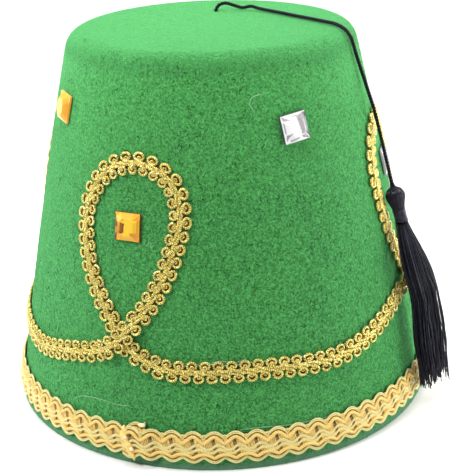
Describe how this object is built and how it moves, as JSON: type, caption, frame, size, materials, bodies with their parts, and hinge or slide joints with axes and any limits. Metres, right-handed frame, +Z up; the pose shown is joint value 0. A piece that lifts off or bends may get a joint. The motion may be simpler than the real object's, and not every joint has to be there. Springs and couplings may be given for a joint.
{
  "type": "fez hat",
  "caption": "Stiff felt fez: a tapered crown open below, with a woven band at the rim, looped gimp trim, square stones and a tassel on a cord from its flat top.",
  "frame": {"origin": "centre of the rim's circle, on the surface the hat rests on", "axes": "+Z up the crown's axis to its flat top, -Y to the front, +X to the side where the tassel hangs"},
  "size_m": [0.1849, 0.1837, 0.1613],
  "materials": {
    "felt_green": "fuzzy pressed wool felt, bright green",
    "galloon_gold": "satin cords woven to a wavy band, pale and orange gold",
    "gimp_gold": "metallic gold gimp cord, sparkling",
    "stone_amber": "faceted amber acrylic with a foiled back",
    "stone_clear": "faceted clear acrylic with a foiled back",
    "thread_black": "black rayon thread with a soft sheen"
  },
  "bodies": {
    "root": {"felt_crown": "felt_green", "base_band": "galloon_gold", "gimp_braid": "gimp_gold", "stone_loop_front": "stone_amber", "stone_loop_right": "stone_clear", "stone_loop_back": "stone_amber", "stone_loop_left": "stone_clear", "stone_high_right": "stone_clear", "stone_high_back_right": "stone_amber", "stone_high_back_left": "stone_clear", "stone_high_left": "stone_amber", "cord_knot": "thread_black", "tassel_cord": "thread_black", "tassel_head": "thread_black", "tassel_binding": "thread_black", "tassel_skirt": "thread_black"}
  },
  "joints": []
}
